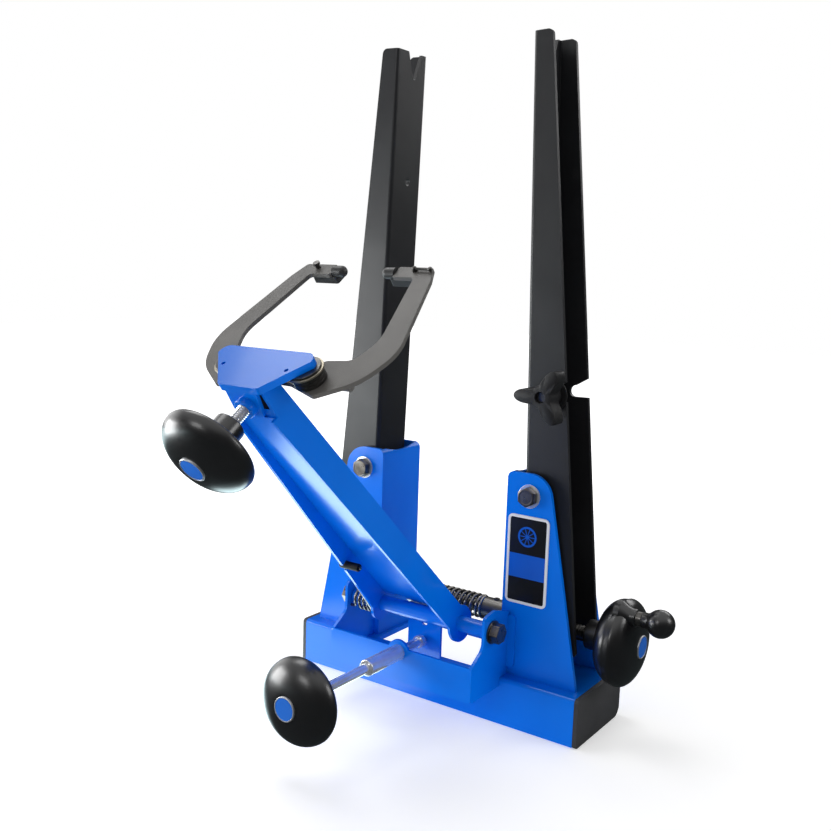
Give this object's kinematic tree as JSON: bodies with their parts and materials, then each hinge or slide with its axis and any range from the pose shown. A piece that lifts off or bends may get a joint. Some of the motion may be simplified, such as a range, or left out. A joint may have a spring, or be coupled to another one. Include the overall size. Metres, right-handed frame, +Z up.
{
  "type": "bicycle wheel truing stand",
  "caption": "Bench stand that holds a bicycle wheel between two leaning uprights, with a sprung arm and caliper that gauge the rim while it is trued.",
  "frame": {"origin": "on the bench under the middle of the base", "axes": "+X right along the base towards the crank, +Y back away from the caliper arm, +Z up"},
  "size_m": [0.3129, 0.3248, 0.5],
  "materials": {
    "frame_blue": "gloss",
    "upright_black": "satin",
    "cap_grey": "matte",
    "knob_black": "gloss",
    "star_plastic": "satin",
    "medallion_blue": "gloss",
    "zinc_steel": "bright zinc",
    "dark_steel": "black oxide",
    "spring_steel": "oiled dark steel",
    "sleeve_rubber": "matte",
    "caliper_grey": "satin",
    "tip_black": "satin",
    "badge_plate": "printed, bare"
  },
  "bodies": {
    "base": {"base_frame": "frame_blue", "end_cap_left": "cap_grey", "end_cap_right": "cap_grey", "tower_left": "frame_blue", "tower_right": "frame_blue", "badge_plate": "badge_plate", "pivot_bracket": "frame_blue", "radial_bush": "zinc_steel", "arm_pivot_bolt": "dark_steel", "arm_pivot_nut": "zinc_steel", "tower_bolt_left": "dark_steel", "tower_bolt_right": "dark_steel", "tower_nut_left": "dark_steel", "tower_nut_right": "dark_steel", "tower_spacer_front_left": "dark_steel", "tower_spacer_front_right": "dark_steel", "tower_spacer_rear_left": "dark_steel", "tower_spacer_rear_right": "dark_steel", "tower_washer_left": "zinc_steel", "tower_washer_right": "zinc_steel"},
    "right_upright": {"upright_right": "upright_black"},
    "left_upright": {"upright_left": "upright_black"},
    "star": {"star_knob": "star_plastic", "star_stud": "dark_steel", "star_nut": "zinc_steel"},
    "spindle": {"spindle_rod": "dark_steel", "spindle_spring": "spring_steel", "spindle_collar_left": "dark_steel", "spindle_collar_right": "dark_steel", "collar_screw_left": "dark_steel", "collar_screw_right": "dark_steel", "crank_knob": "knob_black", "crank_medallion": "medallion_blue", "crank_pin": "dark_steel"},
    "crank_grip": {"crank_ball": "knob_black"},
    "right_nut": {"spindle_nut_right": "dark_steel"},
    "left_nut": {"spindle_nut_left": "dark_steel"},
    "arm": {"support_arm": "frame_blue", "pivot_tube": "frame_blue", "arm_spring": "spring_steel", "spring_sleeve": "sleeve_rubber", "head_plate": "frame_blue", "caliper_pivot_left": "dark_steel", "caliper_pivot_right": "dark_steel", "caliper_spacer_left": "dark_steel", "caliper_spacer_right": "dark_steel", "caliper_bush": "frame_blue"},
    "radial_slide": {"radial_screw": "zinc_steel"},
    "radial_turn": {"radial_knob": "knob_black", "radial_medallion": "medallion_blue"},
    "right_caliper": {"caliper_arm_right": "caliper_grey", "caliper_tip_right": "tip_black", "tip_screw_right": "dark_steel"},
    "left_caliper": {"caliper_arm_left": "caliper_grey", "caliper_tip_left": "tip_black", "tip_screw_left": "dark_steel"},
    "caliper_slide": {"caliper_screw": "zinc_steel"},
    "caliper_turn": {"caliper_knob": "knob_black", "caliper_medallion": "medallion_blue"}
  },
  "joints": [
    {"name": "spindle_turn", "type": "hinge", "parent": "base", "child": "spindle", "pos_m": [0, 0, 0.073], "axis": [1, 0, 0], "range_deg": [-1110, 1490]},
    {"name": "right_upright_lean", "type": "hinge", "parent": "base", "child": "right_upright", "pos_m": [0.07606, 0, 0.1743], "axis": [0, 1, 0], "range_deg": [-3.6, 4.8]},
    {"name": "left_upright_lean", "type": "hinge", "parent": "base", "child": "left_upright", "pos_m": [-0.07606, 0, 0.1743], "axis": [0, -1, 0], "range_deg": [-3.6, 4.8]},
    {"name": "right_nut_travel", "type": "slide", "parent": "base", "child": "right_nut", "axis": [-1, 0, 0], "range_m": [-0.0065, 0.0086]},
    {"name": "left_nut_travel", "type": "slide", "parent": "base", "child": "left_nut", "axis": [1, 0, 0], "range_m": [-0.0065, 0.0086]},
    {"name": "crank_grip_spin", "type": "hinge", "parent": "spindle", "child": "crank_grip", "pos_m": [0.17, -0.009, 0.0965], "axis": [1, 0, 0], "continuous": true},
    {"name": "star_knob_turn", "type": "hinge", "parent": "right_upright", "child": "star", "pos_m": [0.0871, 0, 0.24869], "axis": [0, 1, 0], "continuous": true},
    {"name": "arm_lean", "type": "hinge", "parent": "base", "child": "arm", "pos_m": [0, -0.0505, 0.076], "axis": [1, 0, 0], "range_deg": [-10, 26]},
    {"name": "radial_screw_travel", "type": "slide", "parent": "base", "child": "radial_slide", "axis": [0, 1, 0], "range_m": [-0.0045, 0.0112]},
    {"name": "radial_knob_turn", "type": "hinge", "parent": "radial_slide", "child": "radial_turn", "pos_m": [0, -0.18, 0.0525], "axis": [0, 1, 0], "range_deg": [-990, 2570]},
    {"name": "caliper_knob_turn", "type": "hinge", "parent": "caliper_slide", "child": "caliper_turn", "pos_m": [0, -0.26071, 0.23399], "axis": [0, 0.8013, 0.5983], "range_deg": [-815, 1955]},
    {"name": "caliper_screw_travel", "type": "slide", "parent": "arm", "child": "caliper_slide", "axis": [0, 0.8013, 0.5983], "range_m": [-0.00337, 0.00813]},
    {"name": "right_caliper_swing", "type": "hinge", "parent": "arm", "child": "right_caliper", "pos_m": [0.03, -0.21423, 0.2687], "axis": [0, 0.5983, -0.8013], "range_deg": [-7.6, 18.2]},
    {"name": "left_caliper_swing", "type": "hinge", "parent": "arm", "child": "left_caliper", "pos_m": [-0.03, -0.21423, 0.2687], "axis": [0, -0.5983, 0.8013], "range_deg": [-7.6, 18.2]}
  ],
  "couplings": [
    {"joint": "right_upright_lean", "follows": "spindle_turn", "ratio": 0.0031387},
    {"joint": "left_upright_lean", "follows": "spindle_turn", "ratio": 0.0031387},
    {"joint": "right_nut_travel", "follows": "spindle_turn", "m_per_rad": 0.00031831},
    {"joint": "left_nut_travel", "follows": "spindle_turn", "m_per_rad": 0.00031831},
    {"joint": "radial_screw_travel", "follows": "arm_lean", "m_per_rad": 0.0235},
    {"joint": "radial_knob_turn", "follows": "arm_lean", "ratio": 98.437},
    {"joint": "caliper_knob_turn", "follows": "caliper_screw_travel", "rad_per_m": 4188.8},
    {"joint": "right_caliper_swing", "follows": "caliper_screw_travel", "rad_per_m": 38.462},
    {"joint": "left_caliper_swing", "follows": "caliper_screw_travel", "rad_per_m": 38.462}
  ]
}
